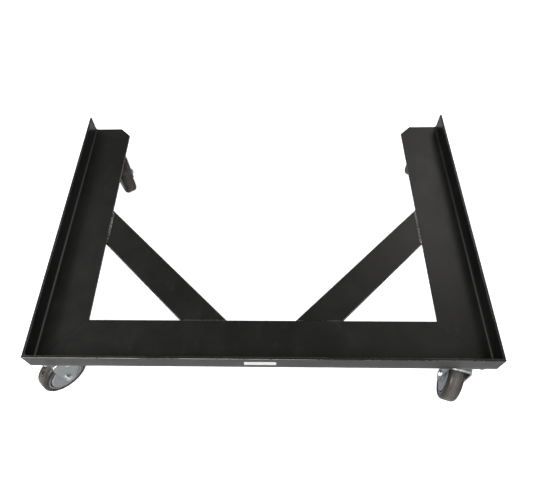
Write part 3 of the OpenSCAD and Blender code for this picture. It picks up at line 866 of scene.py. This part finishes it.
def axle_axes(corner):
    """A wheel's centre, and its own axes: trailing, downwards and along the axle."""
    pin = np.array(hinges[f"{corner}_swivel_turn"]["pos_m"])
    wheel = hinges[f"{corner}_wheel_spin"]
    centre, axle = np.array(wheel["pos_m"]), np.array(wheel["axis"])
    trailing = centre - pin
    trailing[2] = 0
    trailing /= np.linalg.norm(trailing)
    return centre, np.array((trailing, (0, 0, -1), axle))


def axle_bolt():
    """Head, shank and thread in one loft along the axle, with the wheel's middle at zero."""
    head = hexagon_sides(NUT_FLATS, -LEG_OUTER - HEAD_HEIGHT, -LEG_OUTER)
    shank = [turned_ring(STUD / 2, -LEG_OUTER), turned_ring(STUD / 2, LEG_OUTER - 1 * MM)]
    end = LEG_OUTER + HEAD_HEIGHT + BOLT_SHOWS
    thread = thread_rings(STUD / 2, LEG_OUTER - 0.9 * MM, end, STUD_TIP)
    return lofted(np.array(head + shank + thread))


for corner in CORNERS:
    centre, axes = axle_axes(corner)
    body = f"{corner}_swivel"
    fork = softened_copy(f"{corner}_fork", f"{corner}_pressed_fork")
    finish_piece(fork, body, "zinc_plate", zinc_plating, f"{corner}_fork")
    bolt = new_piece(f"{corner}_axle_screw", [placed(axle_bolt(), centre, axes)], sharp=25)
    finish_piece(bolt, body, "bright_steel", bright_plating, f"{corner}_axle_bolt")
    thin_nut = placed(hexagon_nut(HEAD_HEIGHT), centre + LEG_OUTER * axes[2], axes)
    nut = new_piece(f"{corner}_thin_nut", [thin_nut], sharp=25)
    finish_piece(nut, body, "bright_steel", bright_plating, f"{corner}_axle_nut")
    dress(f"{corner}_axle_sleeve", zinc_plating)

# --- Wheels --------------------------------------------------------------------------------------
# A soft grey rubber tread is moulded round a hard plastic core. A pressed plastic disc at each side
# keeps string and swarf off the axle. The discs stay with the fork, and tread and core turn.

WHEEL = 101.6 * MM
TREAD_THICKNESS = 9.8 * MM
SHOULDER = 8 * MM
RIM_THICKNESS = 4 * MM
RIM_INSET = 1.4 * MM
WEB_THICKNESS = 7 * MM
HUB = 24 * MM
SLEEVE = 12.7 * MM
RUNNING_FIT = 0.05 * MM
GUARD_THICKNESS = 1.4 * MM
GUARD_RIM_GAP = 2.5 * MM
GUARD_COLLAR = 19 * MM
TREAD_STEPS = 120
core_radius = WHEEL / 2 - TREAD_THICKNESS
rim_half = TREAD_WIDTH / 2 - RIM_INSET
rim_inside = core_radius - RIM_THICKNESS


def turned(profile, steps=96):
    """A closed profile of radius and height, carried once round the Z axis."""
    around = np.linspace(0, 2 * math.pi, steps, endpoint=False)[:, None]
    radius, height = profile.T
    rings = np.stack([radius * np.cos(around), radius * np.sin(around), height + 0 * around], axis=2)
    return lofted(rings, ends="joined")


def both_sides(half):
    """A profile from the middle outwards at +z, followed by its own mirror image from -z."""
    return np.concatenate([half, half[::-1] * (1, -1)])


def tread_profile():
    """The tread: a crowned running face with a fine mould line, round shoulders and flat sides.

    The face falls away from its middle with the square of the distance.
    """
    half, outer = TREAD_WIDTH / 2, WHEEL / 2
    mould_line, crown = 0.12 * MM, 0.35 * MM
    middle = [(outer, mould_line), (outer - mould_line, 0.3 * MM)]
    across = np.linspace(0.9 * MM, half - SHOULDER, 6)
    face = np.stack([outer - mould_line - crown * (across / half) ** 2, across], axis=1)
    shoulder, _ = arc((face[-1, 0] - SHOULDER, half - SHOULDER), SHOULDER, 8, 82, 12)
    side = [(core_radius + 1.2 * MM, half), (core_radius + 0.5 * MM, half - 0.25 * MM),
            (core_radius, half - 0.9 * MM)]
    return both_sides(np.concatenate([middle, face, shoulder, side]))


def core_profile():
    """The core: hub, web and rim with filleted corners, and a small step at the rim's edge."""
    bore, hub, web = SLEEVE / 2 + RUNNING_FIT, HUB / 2, WEB_THICKNESS / 2
    hub_half, fillet, edge = rim_half - 0.4 * MM, 2 * MM, 0.5 * MM
    hub_end = [(bore, hub_half - edge), (bore + edge, hub_half),
               (hub - edge, hub_half), (hub, hub_half - edge)]
    hub_fillet, _ = arc((hub + fillet, web + fillet), fillet, 180, 270, 6)
    rim_fillet, _ = arc((rim_inside - fillet, web + fillet), fillet, -90, 0, 6)
    rim = [(rim_inside, rim_half - edge), (rim_inside + edge, rim_half),
           (core_radius - 1.2 * MM, rim_half), (core_radius - 0.9 * MM, rim_half - 0.6 * MM),
           (core_radius, rim_half - 0.6 * MM)]
    return both_sides(np.concatenate([hub_end, hub_fillet, rim_fillet, rim]))


def guard_profile():
    """One disc: a collar with a root fillet, a flat dish, a low bell-shaped ridge and a rolled edge."""
    inner, collar = SLEEVE / 2 + RUNNING_FIT, GUARD_COLLAR / 2
    outer, thick, fillet, edge = rim_inside - GUARD_RIM_GAP, GUARD_THICKNESS, 2 * MM, 0.4 * MM
    back, face = rim_half, rim_half + thick
    ridge_at, ridge = outer - 4 * MM, 0.7 * MM
    collar_end = [(inner, back), (inner, LEG_INNER),
                  (collar - edge, LEG_INNER), (collar, LEG_INNER - edge)]
    root, _ = arc((collar + fillet, face + fillet), fillet, 180, 270, 6)
    radius = np.linspace(collar + 2 * fillet, outer - edge, 24)
    dish = np.stack([radius, face + ridge * np.exp(-((radius - ridge_at) / (1.5 * MM)) ** 2)], axis=1)
    rolled = [(outer, face - edge), (outer, back + edge), (outer - edge, back)]
    return np.concatenate([collar_end, root, dish, rolled])


def make_tread_rubber():
    """Rubber with a low sheen and a fine grain: near black on the sides as painted shade, and
    taupe-grey with dust along the running face.
    """
    material, tree, shader = new_material("tread_rubber", Specular_IOR_Level=0.32)
    # The near-black base tone is painted shade, as the tyre's sides stand in shade.
    finish = use_group(tree, uneven_finish, Tone=(0.017, 0.0155, 0.014, 1), Tone_Change=0.16,
                       Roughness=0.28, Gloss_Change=0.06, Cloud_Scale=60.0, Skin_Scale=1100.0)
    # Dust lightens the running face to taupe grey, and the sides stay near black as painted shade.
    scuffed = use_group(tree, wear_and_painted_light, Amount=0.72, Scale=160.0)
    soiled = add_mix(tree, add_math(tree, "MULTIPLY", scuffed.outputs["Mask"], 0.8),
                     finish.outputs["Color"], (0.112, 0.101, 0.089))
    tree.links.new(soiled, shader.inputs["Base Color"])
    tree.links.new(finish.outputs["Roughness"], shader.inputs["Roughness"])
    tree.links.new(add_bump(tree, finish.outputs["Height"], 0.6, 0.05 * MM), shader.inputs["Normal"])
    return material


def make_wheel_plastic(name, tone, roughness, grain):
    """Moulded plastic: nearly even in colour, with a slight sheen, soft scuffs and a fine grain."""
    material, tree, shader = new_material(name, Specular_IOR_Level=0.5)
    finish = use_group(tree, uneven_finish, Tone=(*tone, 1), Tone_Change=0.07, Roughness=roughness,
                       Gloss_Change=0.08, Cloud_Scale=75.0, Skin_Scale=1300.0)
    scuffs = add_noise(tree, 220.0, detail=5.0, roughness=0.75)
    scuffed = add_range(tree, scuffs, 0.62, 0.76, 0.0, 0.35, smooth=True)
    darker = tuple(0.62 * part for part in tone)
    tree.links.new(add_mix(tree, scuffed, finish.outputs["Color"], darker), shader.inputs["Base Color"])
    rough = add_math(tree, "ADD", finish.outputs["Roughness"], add_math(tree, "MULTIPLY", scuffed, 0.3))
    tree.links.new(rough, shader.inputs["Roughness"])
    tree.links.new(add_bump(tree, finish.outputs["Height"], 0.5, grain), shader.inputs["Normal"])
    return material


tread_rubber = make_tread_rubber()
core_plastic = make_wheel_plastic("core_plastic", (0.24, 0.24, 0.235), 0.48, 0.03 * MM)
guard_plastic = make_wheel_plastic("guard_plastic", (0.24, 0.255, 0.28), 0.34, 0.02 * MM)
section = tread_profile()
# Dust on the running face: 1 in the middle, 0 on the sides, which stay dark as painted shade.
face_dust_and_side_shade = np.clip(1.25 - np.abs(section[:, 1]) / (0.4 * TREAD_WIDTH), 0, 1)
for corner in CORNERS:
    centre, axes = axle_axes(corner)
    tread_solid = placed(turned(section, TREAD_STEPS), centre, axes)
    tread_dust_and_shade = np.tile(face_dust_and_side_shade, TREAD_STEPS)
    tread = new_piece(f"{corner}_rubber_tyre", [tread_solid], sharp=50, wear_and_light_share=tread_dust_and_shade)
    finish_piece(tread, f"{corner}_wheel", "tread_rubber", tread_rubber, f"{corner}_tread")
    core = new_piece(f"{corner}_moulded_core", [placed(turned(core_profile()), centre, axes)])
    finish_piece(core, f"{corner}_wheel", "core_plastic", core_plastic, f"{corner}_wheel_core")
    discs = []
    for side in (-1, 1):
        facing = axes * ((1,), (side,), (side,))
        discs.append(placed(turned(guard_profile()), centre, facing))
    guards = new_piece(f"{corner}_guard_discs", discs)
    finish_piece(guards, f"{corner}_swivel", "guard_plastic", guard_plastic, f"{corner}_thread_guards")
